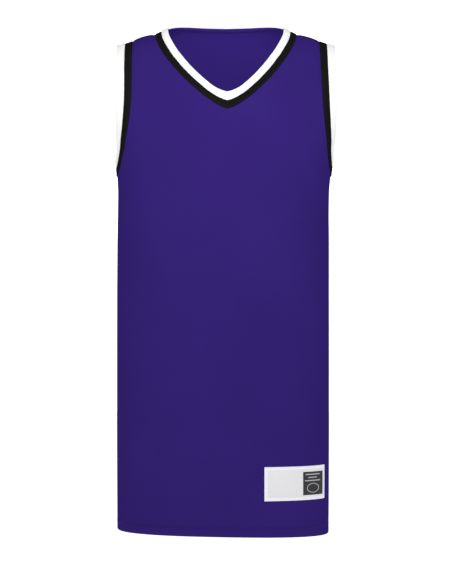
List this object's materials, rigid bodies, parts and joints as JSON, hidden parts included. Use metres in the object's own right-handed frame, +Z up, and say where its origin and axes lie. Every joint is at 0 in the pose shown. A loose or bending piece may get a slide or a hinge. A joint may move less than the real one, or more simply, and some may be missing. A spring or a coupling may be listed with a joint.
{
  "type": "basketball jersey",
  "caption": "Sleeveless V-neck basketball jersey, filled out as worn, with striped neck and armhole trims, a turned-up hem and a plain hem label.",
  "frame": {"origin": "between the two high shoulder points, at the height of the shoulder seams' inner ends, where the wearer's shoulders carry the jersey", "axes": "+Z up along the body, -Y out of the front, +X to the wearer's left"},
  "size_m": [0.3357, 0.2401, 0.7703],
  "materials": {
    "body_knit": "smooth matt polyester knit with a faint sheen",
    "white_trim": "matt knitted strip",
    "black_trim": "matt knitted strip",
    "label": "smooth woven satin"
  },
  "bodies": {
    "root": {"front_panel": "body_knit", "back_panel": "body_knit", "neck_trim_white": "white_trim", "neck_trim_black": "black_trim", "armhole_trim_white_right": "white_trim", "armhole_trim_black_right": "black_trim", "armhole_trim_white_left": "white_trim", "armhole_trim_black_left": "black_trim", "back_neck_tape": "body_knit", "hem_label": "label"}
  },
  "joints": []
}
